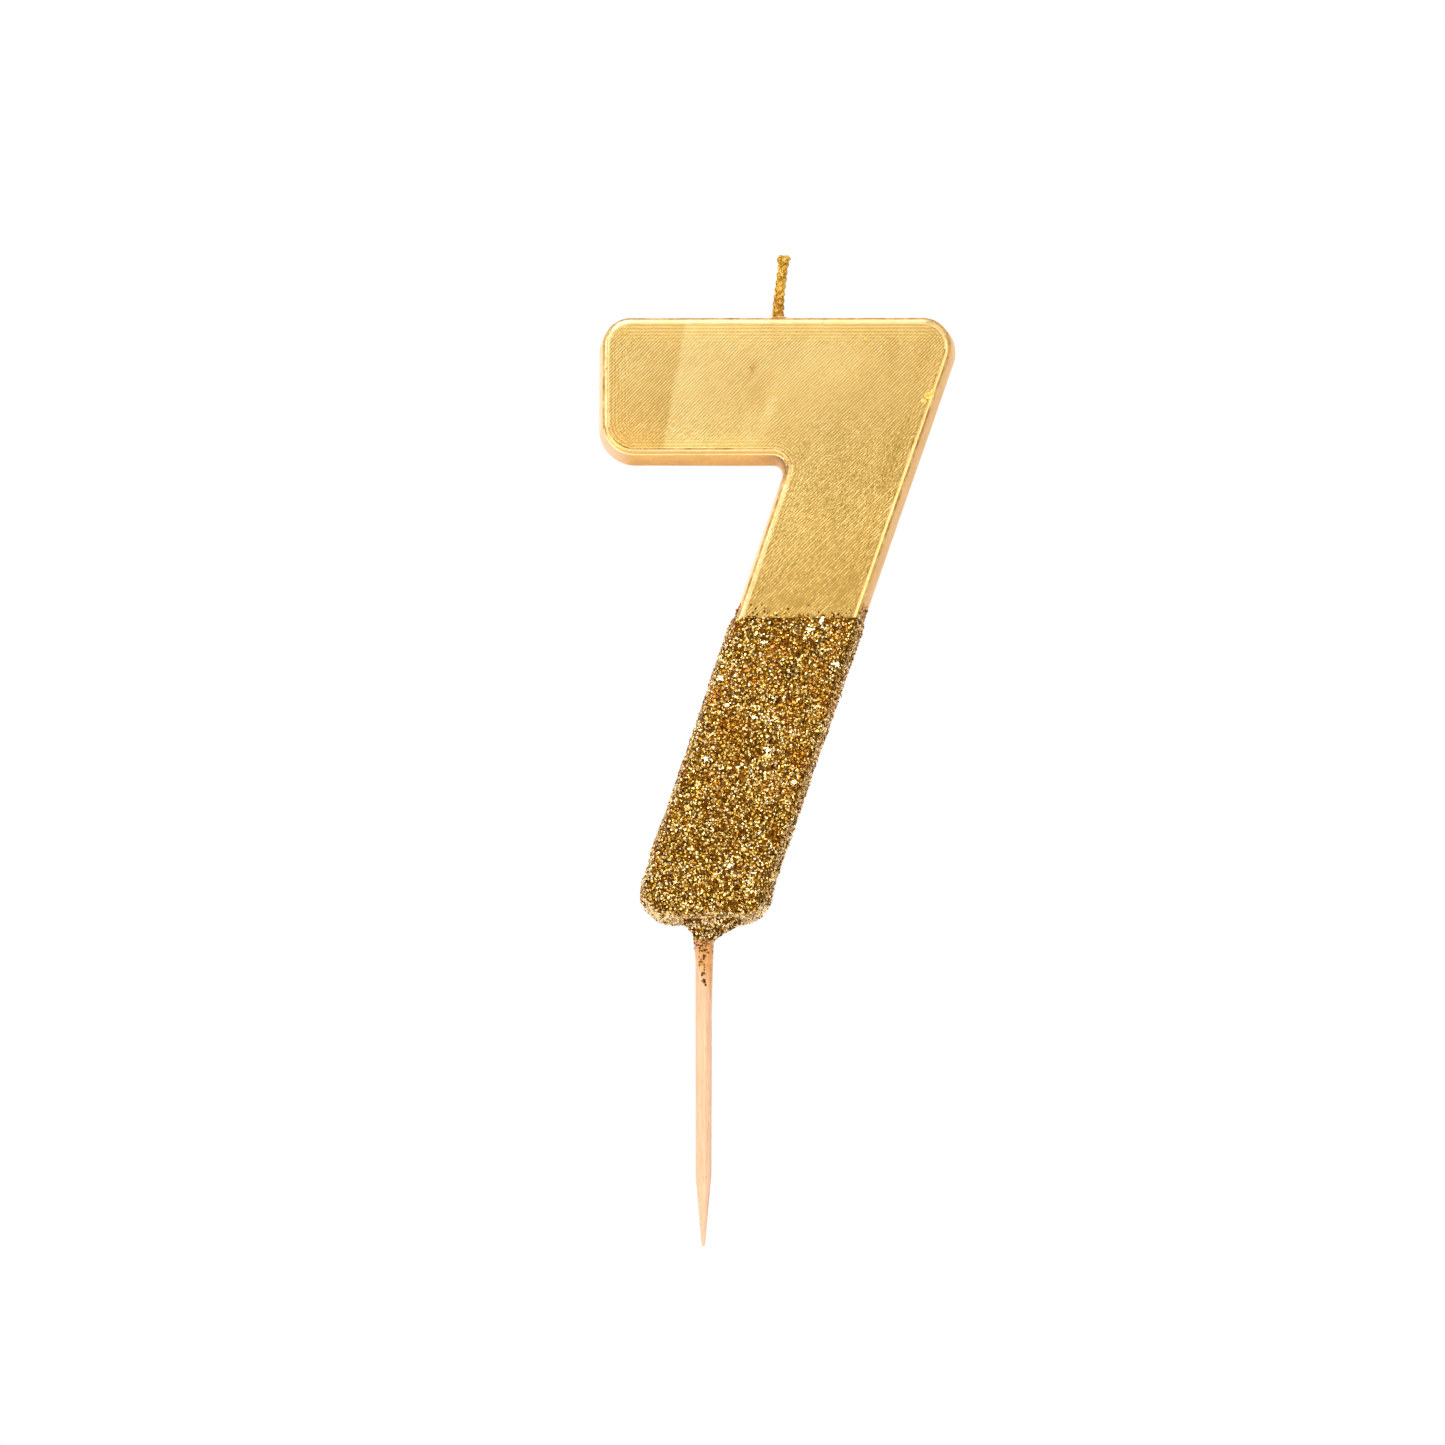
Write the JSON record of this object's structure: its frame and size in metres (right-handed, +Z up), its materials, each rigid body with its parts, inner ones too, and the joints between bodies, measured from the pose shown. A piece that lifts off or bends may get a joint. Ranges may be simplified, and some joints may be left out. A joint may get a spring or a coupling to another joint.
{
  "type": "number candle",
  "caption": "Gold figure 7 birthday candle: flat cast wax numeral with a braided wick, a glitter-dipped stem and a round wooden pick that pushes into a cake.",
  "frame": {"origin": "centre of the pick's blunt tip, on its flat end", "axes": "+Z up the pick to the wick; the moulded front face looks along -Y and the flat poured back along +Y; +X is to the viewer's right seen from the front"},
  "size_m": [0.0445, 0.0106, 0.124],
  "materials": {
    "gold_wax": "satin metallic gold paint on wax",
    "gold_glitter": "chunky metallic glitter in clear glue",
    "cured_glue": "glossy cured glue with glitter in it",
    "glue_film": "clear amber glue film",
    "birch": "bare turned birch",
    "wick_cotton": "braided cotton, gold painted"
  },
  "bodies": {
    "root": {"wax_body": "gold_wax", "glitter_coat": "gold_glitter", "glue_collar": "cured_glue", "glue_run": "glue_film", "pick": "birch", "wick_ply_1": "wick_cotton", "wick_ply_2": "wick_cotton", "wick_ply_3": "wick_cotton"}
  },
  "joints": []
}
